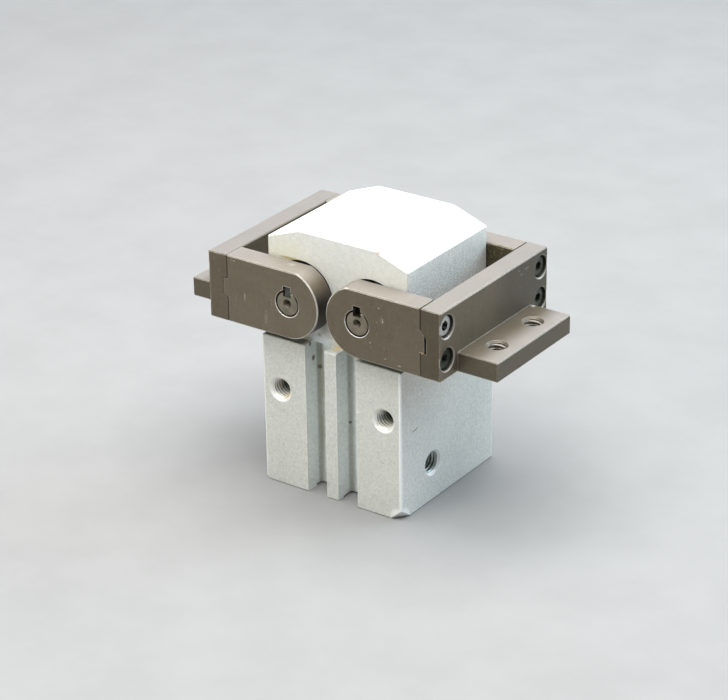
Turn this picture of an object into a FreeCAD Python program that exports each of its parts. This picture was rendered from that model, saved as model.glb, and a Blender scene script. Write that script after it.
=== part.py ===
import FreeCAD, Part
import os, math

# Two-finger 180 degree angular gripper, fully open at rest.
# Millimetres. X runs along the front face, Y away from the front face, Z up.
# Origin at the middle of the body's bottom face.

# ---------------- driving dimensions ----------------
body_w = 36.0          # X width of the body
body_d = 36.0          # Y depth of the lower block
ledge_z = 35.2         # top of the lower block
upper_hd = 15.0        # half depth of the upper block
top_z = 60.0           # flat top
shoulder_z = 57.0      # side height where the shallow top chamfers end
flat_hw = 9.8          # half width of the flat top
edge_c = 0.22          # broken edges on the body

groove_x0, groove_x1 = 1.48, 6.62   # switch groove walls
groove_depth = 4.9
groove_r = 0.7         # rounding of the inner corners

pivot_x = 9.0
pivot_z = 45.4
shaft_r = 3.0
shaft_hl = 20.62       # half length of a shaft
shaft_end_r, shaft_end_l = 2.7, 1.0    # turned-down shaft ends
run = 0.02             # radial clearance of running fits

arm_in, arm_out = 15.3, 20.7        # |Y| of the arm faces
arm_end_r = 8.0
arm_top, arm_bot = 7.5, 8.0         # above / below the pivot
seam_x = 24.8
plate_x = 29.8
flange_x = 39.6
flange_hy = 14.3
flange_top = -3.55     # relative to the pivot
arm_c = 0.22           # broken edges on the fingers
tongue_h = 2.5         # half height of the tongue of the right arms
tongue_l = 1.0
ltongue_hi, ltongue_lo, ltongue_tip = 2.0, 2.15, 1.75   # left tongue: top, bottom at the root, bottom at the tip
seam_gap = 0.14        # open seam above the tongue of the right arms
tongue_gap = 0.2       # open slit above the tongue of the left arms
slot_l, lslot_l = 1.55, 1.12        # depth of the slot in the right and left cross plate
screw_dz = 3.7
screw_y = 18.1
cbore_r = 2.5
cbore_x = 26.6
head_r, head_h = 2.25, 2.5
m25_r = 1.25
m25_hole_r = 1.27
key_w = 2.0
key_lo, key_hi = 1.5, 3.95          # radial extent of a key seat

recess_r = 7.85        # round recess of a bearing holder
holder_y0, holder_y1 = 6.8, 13.6
bush_r = 5.0

m5_r = 2.5
m4_r = 2.0
mount_x, mount_z, mount_len = 13.5, 23.0, 10.0
mount_drill_r = 2.1    # drilled through, tapped from both ends
bottom_len = 9.0
port_len = 5.5
port_r_y, port_r_z = -6.0, 9.0      # right side port
port_l_y, port_l_z = 0.0, 16.6      # left side port
orifice_r = 1.0
slant_r = 0.8          # slanted passage from the left port to the top of the bore

bore_r = 10.0
chamber_top = 22.4
recess_bottom_r, recess_bottom_h = 16.2, 0.45

cav_hx, cav_hy, cav_z0, cav_z1 = 15.0, 6.6, 29.0, 56.0

rod_r = 4.0
ratio = 4.5            # piston travel per radian of finger swing
swing = math.radians(93.0)
stroke = ratio * swing
pin_x = 3.0            # roller offset from the middle plane
pin_h0 = -1.8          # roller height from the pivots, open
roller_r, pin_r = 2.0, 1.25
slot_hw = 2.05         # half width of a cam slot
lever_wall = 1.5
joint_hi, joint_lo = 4.2, 7.0       # joint plate below the roller axis
lever_y0, lever_y1 = 0.15, 4.1      # |Y| layer of a lever

V = FreeCAD.Vector
X, Y, Z = V(1, 0, 0), V(0, 1, 0), V(0, 0, 1)
os.makedirs("parts", exist_ok=True)


def box(x0, x1, y0, y1, z0, z1):
    return Part.makeBox(x1 - x0, y1 - y0, z1 - z0, V(x0, y0, z0))


def cyl(r, p, d, h):
    return Part.makeCylinder(r, h, V(*p), d)


def cone(r1, r2, p, d, h):
    return Part.makeCone(r1, r2, h, V(*p), d)


def ring(ro, ri, p, d, h):
    return cyl(ro, p, d, h).cut(cyl(ri, p, d, h))


def prism_y(pts, y0, y1):
    w = Part.makePolygon([V(a, y0, b) for a, b in pts + [pts[0]]])
    return Part.Face(w).extrude(V(0, y1 - y0, 0))


def mirror_x(s):
    return s.mirror(V(0, 0, 0), X)


def mirror_y(s):
    return s.mirror(V(0, 0, 0), Y)


def solid(s):
    # one clean solid, or a compound of the separate solids
    s = s.removeSplitter()
    return s.Solids[0] if len(s.Solids) == 1 else Part.Compound(s.Solids)


def save(name, s):
    s.exportStep("parts/%s.step" % name)


def below_plane(a, b, c, inside):
    # block that fills the side of plane a,b,c away from the point "inside"
    a, b, c, i = V(*a), V(*b), V(*c), V(*inside)
    n = (b - a).cross(c - a)
    n.normalize()
    if n.dot(i - a) > 0:
        n = n * -1
    s = Part.makeBox(30, 30, 30, V(-15, -15, 0))
    s.Placement = FreeCAD.Placement(a, FreeCAD.Rotation(Z, n))
    return s


# ---------------- body ----------------
hw, hd = body_w / 2, body_d / 2
lower = box(-hw, hw, -hd, hd, 0, ledge_z)
upper = prism_y([(-hw, 30), (-hw, shoulder_z), (-flat_hw, top_z), (flat_hw, top_z), (hw, shoulder_z), (hw, 30)],
                -upper_hd, upper_hd)
body = lower.fuse(upper).removeSplitter()
edges = []
for e in body.Edges:
    m = (e.Vertexes[0].Point + e.Vertexes[-1].Point) * 0.5
    if abs(m.z - ledge_z) < 1e-6 and abs(abs(m.y) - upper_hd) < 1e-6:
        continue
    edges.append(e)
body = body.makeChamfer(edge_c, edges)

# worn front right bottom corner and a smaller rounding at the left one
body = body.cut(below_plane((15.1, -hd, 0), (hw, -14.5, 0), (hw, -hd, 2.6), (0, 0, 10)))
body = body.cut(below_plane((-hw + 0.9, -hd, 0), (-hw, -hd + 0.9, 0), (-hw, -hd, 1.1), (0, 0, 10)))
# nick in the front top edge
body = body.cut(cyl(0.35, (11.15, -upper_hd - 0.1, 59.85), Y, 0.35))

# switch grooves, two in front and two at the back
gr = (groove_x1 - groove_x0) / 2
gx = (groove_x1 + groove_x0) / 2
gy = hd - groove_depth
for sx in (1, -1):
    for sy in (1, -1):
        y0, y1 = (gy, hd + 1) if sy > 0 else (-hd - 1, -gy)
        g = box(sx * gx - gr, sx * gx + gr, y0, y1, -1, ledge_z + 0.001)
        g = g.makeFillet(groove_r, [e for e in g.Edges if abs(e.Vertexes[0].Point.z - e.Vertexes[-1].Point.z) > 1
                                    and abs(abs(e.Vertexes[0].Point.y) - gy) < 1e-6])
        body = body.cut(g)

# bottom: shallow recess, bore, retaining ring groove
body = body.cut(cyl(recess_bottom_r, (0, 0, 0), Z, recess_bottom_h))
body = body.cut(cyl(bore_r, (0, 0, 0), Z, chamber_top))
body = body.cut(cyl(10.55, (0, 0, 1.75), Z, 1.1))
body = body.cut(cone(10.4, 10.0, (0, 0, recess_bottom_h), Z, 0.4))
# rod passage: seal groove, bush seat, clearance
body = body.cut(cyl(5.0, (0, 0, chamber_top - 1), Z, 28.6 - chamber_top + 1))
body = body.cut(cyl(6.2, (0, 0, 23.0), Z, 2.4))
body = body.cut(cyl(4.3, (0, 0, 28), Z, 2))
# cavity of the levers
cav = box(-cav_hx, cav_hx, -cav_hy, cav_hy, cav_z0, cav_z1)
cav = cav.makeFillet(2.0, [e for e in cav.Edges if abs(e.Vertexes[0].Point.y - e.Vertexes[-1].Point.y) > 1])
body = body.cut(cav)
for sx in (1, -1):
    body = body.cut(cyl(recess_r, (sx * pivot_x, -20, pivot_z), Y, 40))

# tapped holes, plain at the thread's outer diameter, with countersunk mouths
def tapped(r, p, d, length, mouth):
    k = mouth - r
    s = cyl(r, p, d, length)
    c = cone(mouth, r, p, d, k)
    tip = cone(r, 0.0, (p[0] + d.x * length, p[1] + d.y * length, p[2] + d.z * length), d, r * 0.55)
    return s.fuse(c).fuse(tip)

for sx in (1, -1):
    body = body.cut(tapped(m5_r, (sx * mount_x, -hd, mount_z), Y, mount_len, 2.9))
    body = body.cut(tapped(m5_r, (sx * mount_x, hd, mount_z), Y * -1, mount_len, 2.9))
    body = body.cut(cyl(mount_drill_r, (sx * mount_x, -hd, mount_z), Y, body_d))
    for sy in (1, -1):
        body = body.cut(tapped(m5_r, (sx * mount_x, sy * mount_x, 0), Z, bottom_len, 2.8))
# air ports
body = body.cut(tapped(m5_r, (hw, port_r_y, port_r_z), X * -1, port_len, 3.0))
body = body.cut(cyl(orifice_r, (hw - port_len - 2, port_r_y, port_r_z), X * -1, 5.0))
body = body.cut(cyl(orifice_r, (hw - port_len, port_r_y, port_r_z), X * -1, 3.0))
body = body.cut(tapped(m5_r, (-hw, port_l_y, port_l_z), X, port_len, 3.0))
slant = V(-bore_r + 0.5, port_l_y, chamber_top - 0.9) - V(-hw + port_len, port_l_y, port_l_z + 0.8)
body = body.cut(cyl(slant_r, (-hw + port_len, port_l_y, port_l_z + 0.8), slant, slant.Length))
save("body", solid(body))

# ---------------- parts fixed in the body ----------------
for sx, nx in ((1, "right"), (-1, "left")):
    for sy, ny in ((-1, "front"), (1, "rear")):
        p = (sx * pivot_x, sy * holder_y0, pivot_z)
        d = Y * sy
        h = holder_y1 - holder_y0
        s = ring(recess_r, bush_r, p, d, h)
        rim = [e for e in s.Edges if e.Curve.TypeId == "Part::GeomCircle" and abs(e.Curve.Radius - recess_r) < 1e-6
               and abs(abs(e.Curve.Center.y) - holder_y1) < 1e-6]
        s = s.makeChamfer(0.4, rim)
        save("bearing_holder_%s_%s" % (ny, nx), solid(s))
        s = ring(bush_r, shaft_r + run, p, d, h)
        save("shaft_bush_%s_%s" % (ny, nx), solid(s))

save("rod_bush", solid(ring(5.0, rod_r + run, (0, 0, 25.6), Z, 3.0)))
seal = ring(6.2, rod_r + run, (0, 0, 23.1), Z, 2.2)
seal = seal.cut(ring(5.5, 4.6, (0, 0, 23.1), Z, 0.9))
save("rod_seal", solid(seal))

cap = cyl(9.98, (0, 0, 2.85), Z, 3.35)
cap = cap.cut(ring(11, 8.6, (0, 0, 4.0), Z, 1.6))
cap = cap.makeChamfer(0.3, [e for e in cap.Edges if e.Curve.TypeId == "Part::GeomCircle"
                            and abs(e.Curve.Radius - 9.98) < 1e-6 and abs(e.Curve.Center.z - 6.2) < 1e-6])
cap = cap.cut(cyl(2.0, (0, 0, 2.85), Z, 1.2))
save("bottom_cap", solid(cap))
save("cap_o_ring", solid(Part.makeTorus(9.3, 0.69, V(0, 0, 4.8), Z)))

# inner retaining ring: open ring with two eyes
rr = ring(10.5, 9.0, (0, 0, 1.8), Z, 1.0)
rr = rr.fuse(cyl(1.5, (2.6, -7.8, 1.8), Z, 1.0)).fuse(cyl(1.5, (-2.6, -7.8, 1.8), Z, 1.0))
rr = rr.cut(box(-1.1, 1.1, -12, -5, 1.5, 3.1))
rr = rr.cut(cyl(0.7, (2.6, -7.6, 1.5), Z, 2)).cut(cyl(0.7, (-2.6, -7.6, 1.5), Z, 2))
save("retaining_ring", solid(rr))

# ---------------- piston group ----------------
pb = chamber_top - 0.2 - 8.4            # lowest point of the piston group at rest
p_land0, p_land1 = pb + 3.2, pb + 7.7
piston = cyl(3.0, (0, 0, pb), Z, 4.0)
piston = piston.fuse(cyl(9.93, (0, 0, p_land0), Z, p_land1 - p_land0))
piston = piston.fuse(cyl(6.0, (0, 0, p_land1), Z, 0.7))
rod_top = pivot_z + pin_h0 - joint_lo
piston = piston.fuse(cyl(rod_r, (0, 0, p_land1), Z, rod_top - p_land1)).removeSplitter()
piston = piston.cut(ring(12, 7.6, (0, 0, p_land0 + 1.1), Z, 2.2))
piston = piston.cut(cyl(2.5, (0, 0, rod_top - 6.5), Z, 7))
save("piston", solid(piston))
ps = ring(9.97, 7.6, (0, 0, p_land0 + 1.15), Z, 2.1)
ps = ps.cut(ring(9.3, 8.4, (0, 0, p_land0 + 1.15), Z, 0.7)).cut(ring(9.3, 8.4, (0, 0, p_land0 + 2.55), Z, 0.7))
save("piston_seal", solid(ps))
save("magnet", solid(ring(8.0, 3.02, (0, 0, pb + 1.2), Z, 2.0)))
save("magnet_holder", solid(ring(8.5, 3.0, (0, 0, pb), Z, 1.2)))

jz = pivot_z + pin_h0
joint = box(-5.5, 5.5, -6.3, 6.3, jz - joint_lo, jz - joint_hi)
joint = joint.fuse(box(-5.5, 5.5, -6.3, -4.4, jz - 5, jz + 2.5)).fuse(box(-5.5, 5.5, 4.4, 6.3, jz - 5, jz + 2.5))
joint = joint.fuse(cyl(2.5, (0, 0, jz - joint_lo - 6), Z, 6.5)).removeSplitter()
joint = joint.cut(cyl(pin_r, (pin_x, -7, jz), Y, 4)).cut(cyl(pin_r, (-pin_x, 7, jz), Y * -1, 4))
save("joint", solid(joint))
pin = cyl(pin_r, (pin_x, -6.3, jz), Y, 6.05)
pins = Part.Compound([pin, pin.copy().rotate(V(0, 0, 0), Z, 180)])
save("joint_pins", pins)
rol = ring(roller_r, pin_r + run, (pin_x, -4.05, jz), Y, 3.8)
save("joint_rollers", Part.Compound([rol, rol.copy().rotate(V(0, 0, 0), Z, 180)]))


# ---------------- levers: slot is the exact path of a roller seen from the swinging lever ----------------
def path(t):
    vx, vz = -(pivot_x - pin_x), pin_h0 - ratio * t
    return (vx * math.cos(t) + vz * math.sin(t), -vx * math.sin(t) + vz * math.cos(t))


def path_dir(t):
    e = 1e-5
    a, b = path(t - e), path(t + e)
    l = math.hypot(b[0] - a[0], b[1] - a[1])
    return ((b[0] - a[0]) / l, (b[1] - a[1]) / l)


def hull_of_circles(circles):
    # convex outline round several circles (x, z, r) as a closed wire of arcs and lines
    pts = []
    for i, (cx, cz, r) in enumerate(circles):
        for k in range(1440):
            a = 2 * math.pi * k / 1440
            pts.append((cx + r * math.cos(a), cz + r * math.sin(a), i))
    pts.sort()

    def half(seq):
        out = []
        for p in seq:
            while len(out) > 1 and ((out[-1][0] - out[-2][0]) * (p[1] - out[-2][1])
                                    - (out[-1][1] - out[-2][1]) * (p[0] - out[-2][0])) <= 0:
                out.pop()
            out.append(p)
        return out[:-1]
    h = half(pts) + half(pts[::-1])
    n = len(h)
    start = next(k for k in range(n) if h[k][2] != h[k - 1][2])
    h = h[start:] + h[:start]
    groups = []
    for p in h:
        if groups and groups[-1][0][2] == p[2]:
            groups[-1].append(p)
        else:
            groups.append([p])
    edges = []
    for k, g in enumerate(groups):
        q = groups[(k + 1) % len(groups)][0]
        if len(g) > 2:
            m = g[len(g) // 2]
            edges.append(Part.Arc(V(g[0][0], 0, g[0][1]), V(m[0], 0, m[1]), V(g[-1][0], 0, g[-1][1])).toShape())
        elif len(g) == 2:
            edges.append(Part.makeLine(V(g[0][0], 0, g[0][1]), V(g[1][0], 0, g[1][1])))
        edges.append(Part.makeLine(V(g[-1][0], 0, g[-1][1]), V(q[0], 0, q[1])))
    return Part.Wire(edges)


t0, t1, nseg = math.radians(-2.0), math.radians(94.0), 30
ts = [t0 + (t1 - t0) * k / nseg for k in range(nseg + 1)]
left_pts, right_pts = [], []
for t in ts:
    (a, b), (dx, dz) = path(t), path_dir(t)
    left_pts.append(V(a - dz * slot_hw, 0, b + dx * slot_hw))
    right_pts.append(V(a + dz * slot_hw, 0, b - dx * slot_hw))
ca, cb = path(t0), path(t1)
da, db = path_dir(t0), path_dir(t1)
sl = Part.BSplineCurve()
sl.interpolate(left_pts)
sr = Part.BSplineCurve()
sr.interpolate(right_pts)
end_a = Part.Arc(left_pts[0], V(ca[0] - da[0] * slot_hw, 0, ca[1] - da[1] * slot_hw), right_pts[0])
end_b = Part.Arc(left_pts[-1], V(cb[0] + db[0] * slot_hw, 0, cb[1] + db[1] * slot_hw), right_pts[-1])
slot_wire = Part.Wire([sl.toShape(), end_b.toShape(), sr.toShape(), end_a.toShape()])
cs = [(0.0, 0.0, 5.0)]
for t in (ts[0], ts[10], ts[20], ts[-1]):
    q = path(t)
    cs.append((q[0], q[1], slot_hw + lever_wall))
outline = hull_of_circles(cs)
lt = lever_y1 - lever_y0
plate = Part.Face(outline).extrude(V(0, lt, 0)).cut(Part.Face(slot_wire).extrude(V(0, lt, 0)))
plate = plate.cut(cyl(shaft_r, (0, 0, 0), Y, lt))
plate = plate.cut(box(-key_w / 2, key_w / 2, 0, lt, 0, key_hi))
plate.translate(V(pivot_x, -lever_y1, pivot_z))
save("lever_right", solid(plate))
save("lever_left", solid(plate.copy().rotate(V(0, 0, 0), Z, 180)))

lkey = box(-key_w / 2, key_w / 2, 0, 3.2, key_lo, key_hi - 0.05)
lkey.translate(V(pivot_x, -lever_y1 + 0.35, pivot_z))
save("lever_key_right", solid(lkey))
save("lever_key_left", solid(lkey.copy().rotate(V(0, 0, 0), Z, 180)))

# ---------------- shafts ----------------
key_len = 3.0
key_front_l, key_front_r, key_rear = 20.35, 18.75, 20.35     # |Y| of the keys' outer ends
for sx, nx in ((1, "right"), (-1, "left")):
    s = cyl(shaft_r, (0, shaft_end_l - shaft_hl, 0), Y, 2 * (shaft_hl - shaft_end_l))
    s = s.fuse(cyl(shaft_end_r, (0, -shaft_hl, 0), Y, 2 * shaft_hl)).removeSplitter()
    s = s.makeChamfer(0.12, [e for e in s.Edges if e.Curve.TypeId == "Part::GeomCircle"
                             and abs(abs(e.Curve.Center.y) - shaft_hl) < 1e-6])
    for sy in (1, -1):
        y = sy * shaft_hl
        s = s.cut(cone(0.98, 0.4, (0, y, 0), Y * -sy, 1.0)).cut(cyl(0.4, (0, y, 0), Y * -sy, 2.2))
        y0, y1 = sorted((sy * (shaft_hl + 1), sy * 15.7))
        s = s.cut(box(-key_w / 2, key_w / 2, y0, y1, key_lo, 5))
    ly = sorted((-sx * (lever_y1 - 0.35), -sx * (lever_y1 - 3.55)))
    s = s.cut(box(-key_w / 2, key_w / 2, ly[0], ly[1], key_lo, 5))
    s.translate(V(sx * pivot_x, 0, pivot_z))
    save("shaft_%s" % nx, solid(s))
    kf = key_front_r if sx > 0 else key_front_l
    k1 = box(-key_w / 2, key_w / 2, -kf, -kf + key_len, key_lo, key_hi - 0.05)
    if sx < 0:
        # the front left key sits with its slack to one side
        k1 = box(-key_w / 2 + 0.3, key_w / 2, -kf, -kf + key_len, key_lo, key_hi - 0.2)
    k2 = box(-key_w / 2, key_w / 2, key_rear - key_len, key_rear, key_lo, key_hi - 0.05)
    ks = Part.Compound([k1, k2])
    ks.translate(V(sx * pivot_x, 0, pivot_z))
    save("arm_keys_%s" % nx, ks)


# ---------------- arms ----------------
def arm(chamfer_top):
    # right front arm in pivot coordinates, flat on Y = -arm_out .. -arm_in
    tx = math.sqrt(arm_end_r ** 2 - arm_top ** 2)
    L = seam_x - pivot_x
    T = L + tongue_l
    p0, p1 = V(-tx, 0, arm_top), V(0, 0, -arm_end_r)
    am = math.radians(200)
    arc = Part.Arc(p0, V(arm_end_r * math.cos(am), 0, arm_end_r * math.sin(am)), p1).toShape()
    c = tongue_l
    th = tongue_h
    if chamfer_top:
        sg = seam_gap
        pts = [p1, V(L, 0, -arm_bot), V(L, 0, -th), V(T, 0, -th), V(T, 0, th - c), V(L - sg, 0, th + sg),
               V(L - sg, 0, arm_top), p0]
    else:
        pts = [p1, V(L, 0, -arm_bot), V(L, 0, -ltongue_lo), V(T, 0, -ltongue_tip), V(T, 0, ltongue_hi),
               V(L, 0, ltongue_hi), V(L, 0, arm_top), p0]
    w = Part.Wire([arc] + [Part.makeLine(pts[i], pts[i + 1]) for i in range(len(pts) - 1)])
    s = Part.Face(w).extrude(V(0, arm_out - arm_in, 0))
    s.translate(V(0, -arm_out, 0))
    # broken edges along the outline of both faces, not on the tongue
    ed = []
    for e in s.Edges:
        a, b = e.Vertexes[0].Point, e.Vertexes[-1].Point
        if abs(a.y - b.y) > 1e-6:
            continue
        if max(a.x, b.x) > L + 1e-6:
            continue
        ed.append(e)
    s = s.makeChamfer(arm_c, ed)
    s = s.cut(cyl(shaft_r, (0, -arm_out - 1, 0), Y, 10))
    s = s.cut(cone(shaft_r + 0.08, shaft_r, (0, -arm_out, 0), Y, 0.08))
    s = s.cut(cone(shaft_r, shaft_r + 0.3, (0, -arm_in - 0.3, 0), Y, 0.3))
    s = s.cut(box(-key_w / 2, key_w / 2, -arm_out - 1, -arm_in + 1, 0, key_hi))
    for sz in (1, -1):
        s = s.cut(cyl(m25_hole_r, (L + 2, -screw_y, sz * screw_dz), X * -1, 2 + 7.0))
    return s


for sx, nx in ((1, "right"), (-1, "left")):
    a = arm(sx > 0)
    if sx < 0:
        a = mirror_x(a)
    f = a.copy()
    f.translate(V(sx * pivot_x, 0, pivot_z))
    save("arm_front_%s" % nx, solid(f))
    save("arm_rear_%s" % nx, solid(mirror_y(f)))


# ---------------- cross plates with flange ----------------
def cross_plate(chamfer_top):
    zt, zb = arm_top, -arm_bot
    s = box(seam_x, plate_x, -arm_out, arm_out, zb, zt)
    s = s.makeChamfer(arm_c, s.Edges)
    fl = box(plate_x - 2, flange_x, -flange_hy, flange_hy, zb, flange_top)
    fl = fl.makeChamfer(arm_c, [e for e in fl.Edges if max(v.Point.x for v in e.Vertexes) > plate_x])
    s = s.fuse(fl).removeSplitter()
    g = 0.05
    th, c = tongue_h + g, tongue_l
    for sy in (1, -1):
        if chamfer_top:
            pts = [(seam_x - 1, -th), (seam_x + slot_l, -th), (seam_x + slot_l, th - slot_l), (seam_x, th), (seam_x - 1, th)]
        else:
            lo, tip, hi = -ltongue_lo - g, -ltongue_tip - g, ltongue_hi + tongue_gap
            pts = [(seam_x - 1, lo), (seam_x, lo), (seam_x + lslot_l, tip), (seam_x + lslot_l, hi), (seam_x - 1, hi)]
        y0, y1 = sorted((sy * (arm_in - 0.1), sy * (arm_out + 1)))
        s = s.cut(prism_y(pts, y0, y1))
        for sz in (1, -1):
            p = (plate_x, sy * screw_y, sz * screw_dz)
            s = s.cut(cyl(cbore_r, p, X * -1, plate_x - cbore_x))
            s = s.cut(cone(cbore_r + 0.25, cbore_r, p, X * -1, 0.25))
            s = s.cut(cyl(1.4, p, X * -1, 10))
        q = (34.8, sy * 7.0, flange_top)
        s = s.cut(cyl(m4_r, (34.8, sy * 7.0, zb - 1), Z, 10))
        s = s.cut(cone(m4_r + 0.4, m4_r, q, Z * -1, 0.4))
        s = s.cut(cone(m4_r + 0.4, m4_r, (34.8, sy * 7.0, zb), Z, 0.4))
    return s


def screw(y, z):
    s = cyl(head_r, (cbore_x, y, z), X, head_h)
    s = s.makeFillet(0.3, [e for e in s.Edges if e.Curve.TypeId == "Part::GeomCircle"
                           and abs(e.Curve.Center.x - cbore_x - head_h) < 1e-6])
    s = s.fuse(cyl(m25_r, (cbore_x, y, z), X * -1, 8.0)).removeSplitter()
    af = 1.0 / math.cos(math.radians(30))
    pts = [V(cbore_x + head_h - 1.3, y + af * math.cos(math.radians(60 * k + 15)),
             z + af * math.sin(math.radians(60 * k + 15))) for k in range(6)]
    h = Part.Face(Part.makePolygon(pts + [pts[0]])).extrude(V(2, 0, 0))
    return s.cut(h)


for sx, nx in ((1, "right"), (-1, "left")):
    c = cross_plate(sx > 0)
    sc = Part.Compound([screw(sy * screw_y, sz * screw_dz) for sy in (-1, 1) for sz in (1, -1)])
    if sx < 0:
        c, sc = mirror_x(c), mirror_x(sc)
    c.translate(V(0, 0, pivot_z))
    sc.translate(V(0, 0, pivot_z))
    save("cross_plate_%s" % nx, solid(c))
    save("plate_screws_%s" % nx, sc)
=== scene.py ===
import math

import bmesh
import bpy
from mathutils import Euler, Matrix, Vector


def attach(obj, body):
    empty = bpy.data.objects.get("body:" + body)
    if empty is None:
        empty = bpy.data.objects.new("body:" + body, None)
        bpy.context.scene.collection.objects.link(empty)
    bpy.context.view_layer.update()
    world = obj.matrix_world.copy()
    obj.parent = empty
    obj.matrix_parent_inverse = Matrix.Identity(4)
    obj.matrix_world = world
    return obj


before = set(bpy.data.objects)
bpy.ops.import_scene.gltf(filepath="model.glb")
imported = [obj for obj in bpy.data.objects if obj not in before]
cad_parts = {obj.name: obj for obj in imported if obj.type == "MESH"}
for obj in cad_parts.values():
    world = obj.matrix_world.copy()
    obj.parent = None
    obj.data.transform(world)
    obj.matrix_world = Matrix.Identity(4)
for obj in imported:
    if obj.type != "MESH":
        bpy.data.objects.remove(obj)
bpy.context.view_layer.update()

MM = 0.001
scene = bpy.context.scene
scene.view_settings.view_transform = "Standard"
scene.view_settings.look = "None"


# ------------------------------------------------------------------ node helpers
class Graph:
    """A small builder for one material's nodes. Positions are in millimetres, in the frame at rest."""

    def __init__(self, name):
        self.mat = bpy.data.materials.new(name)
        self.mat.use_nodes = True
        self.t = self.mat.node_tree
        self.t.nodes.clear()
        self.out = self.t.nodes.new("ShaderNodeOutputMaterial")
        self.bsdf = self.t.nodes.new("ShaderNodeBsdfPrincipled")
        self.t.links.new(self.bsdf.outputs[0], self.out.inputs[0])
        tc = self.t.nodes.new("ShaderNodeTexCoord")
        self.pos = self.vmath("MULTIPLY", tc.outputs["Object"], (1000.0, 1000.0, 1000.0))
        self._xyz = None
        self._abs = None

    def put(self, socket, value):
        if isinstance(value, bpy.types.NodeSocket):
            self.t.links.new(value, socket)
        elif value is not None:
            socket.default_value = value

    def vmath(self, op, a, b=None, c=None, out=0):
        n = self.t.nodes.new("ShaderNodeVectorMath")
        n.operation = op
        self.put(n.inputs[0], a)
        if b is not None:
            self.put(n.inputs[3] if op == "SCALE" else n.inputs[1], b)
        if c is not None:
            self.put(n.inputs[2], c)
        return n.outputs[out]

    def math(self, op, a, b=None, c=None, clamp=False):
        n = self.t.nodes.new("ShaderNodeMath")
        n.operation = op
        n.use_clamp = clamp
        self.put(n.inputs[0], a)
        if b is not None:
            self.put(n.inputs[1], b)
        if c is not None:
            self.put(n.inputs[2], c)
        return n.outputs[0]

    def xyz(self):
        if self._xyz is None:
            n = self.t.nodes.new("ShaderNodeSeparateXYZ")
            self.put(n.inputs[0], self.pos)
            self._xyz = n.outputs
        return self._xyz

    def absxyz(self):
        if self._abs is None:
            n = self.t.nodes.new("ShaderNodeSeparateXYZ")
            self.put(n.inputs[0], self.vmath("ABSOLUTE", self.pos))
            self._abs = n.outputs
        return self._abs

    def hypot(self, a, b):
        return self.math("SQRT", self.math("MULTIPLY_ADD", a, a, self.math("MULTIPLY", b, b)))

    def band(self, v, lo, hi, soft):
        """1 where v lies between lo and hi."""
        return self.math("MULTIPLY", self.ramp(v, lo - soft, lo), self.ramp(v, hi, hi + soft, 1.0, 0.0))

    def scaled(self, sx, sy, sz):
        return self.vmath("MULTIPLY", self.pos, (sx, sy, sz))

    def noise(self, vec, scale, detail=2.0, rough=0.5, lo=None, hi=None, a=0.0, b=1.0, distort=0.0):
        n = self.t.nodes.new("ShaderNodeTexNoise")
        n.inputs["Scale"].default_value = scale
        n.inputs["Detail"].default_value = detail
        n.inputs["Roughness"].default_value = rough
        n.inputs["Distortion"].default_value = distort
        self.put(n.inputs["Vector"], vec)
        if lo is None:
            return n.outputs[0]
        return self.ramp(n.outputs[0], lo, hi, a, b)

    def cells(self, vec, scale, out="Distance"):
        n = self.t.nodes.new("ShaderNodeTexVoronoi")
        n.inputs["Scale"].default_value = scale
        self.put(n.inputs["Vector"], vec)
        return n.outputs[out]

    def ramp(self, v, lo, hi, a=0.0, b=1.0, smooth=True):
        n = self.t.nodes.new("ShaderNodeMapRange")
        n.interpolation_type = "SMOOTHSTEP" if smooth else "LINEAR"
        self.put(n.inputs[0], v)
        for i, x in zip((1, 2, 3, 4), (lo, hi, a, b)):
            n.inputs[i].default_value = x
        return n.outputs[0]

    def mix(self, f, a, b, blend="MIX"):
        n = self.t.nodes.new("ShaderNodeMix")
        n.data_type = "RGBA"
        n.blend_type = blend
        self.put(n.inputs[0], f)
        self.put(n.inputs[6], a if isinstance(a, bpy.types.NodeSocket) else (*a, 1.0))
        self.put(n.inputs[7], b if isinstance(b, bpy.types.NodeSocket) else (*b, 1.0))
        return n.outputs[2]

    def normal(self):
        n = self.t.nodes.new("ShaderNodeNewGeometry")
        return n.outputs["Normal"]

    def bump(self, height, strength, distance, normal=None):
        n = self.t.nodes.new("ShaderNodeBump")
        n.inputs["Strength"].default_value = strength
        n.inputs["Distance"].default_value = distance
        self.put(n.inputs["Height"], height)
        if normal is not None:
            self.put(n.inputs["Normal"], normal)
        return n.outputs[0]

    def edges(self, radius_mm, lo, hi):
        """1 on sharp edges and 0 on flats, from how far a rounded normal leaves the true one."""
        n = self.t.nodes.new("ShaderNodeBevel")
        n.samples = 4
        n.inputs["Radius"].default_value = radius_mm * MM
        d = self.vmath("DOT_PRODUCT", n.outputs[0], self.normal(), out=1)
        return self.ramp(self.math("SUBTRACT", 1.0, d), lo, hi)

    def blob(self, centre, radii, soft=0.5, wobble=0.35, freq=3.0):
        """A ragged patch round a point, 1 inside. radii are the half sizes along X, Y and Z."""
        w = self.vmath("SUBTRACT", self.pos, centre)
        w = self.vmath("DIVIDE", w, radii)
        d = self.vmath("LENGTH", w, out=1)
        n = self.noise(self.pos, freq, 2.0)
        d = self.math("MULTIPLY_ADD", self.math("SUBTRACT", n, 0.5), wobble * 2.0, d)
        return self.ramp(d, 1.0 - soft, 1.0 + soft, 1.0, 0.0)

    def most(self, *fs):
        v = fs[0]
        for f in fs[1:]:
            v = self.math("MAXIMUM", v, f)
        return v

    def times(self, a, b):
        return self.math("MULTIPLY", a, b)

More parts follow.
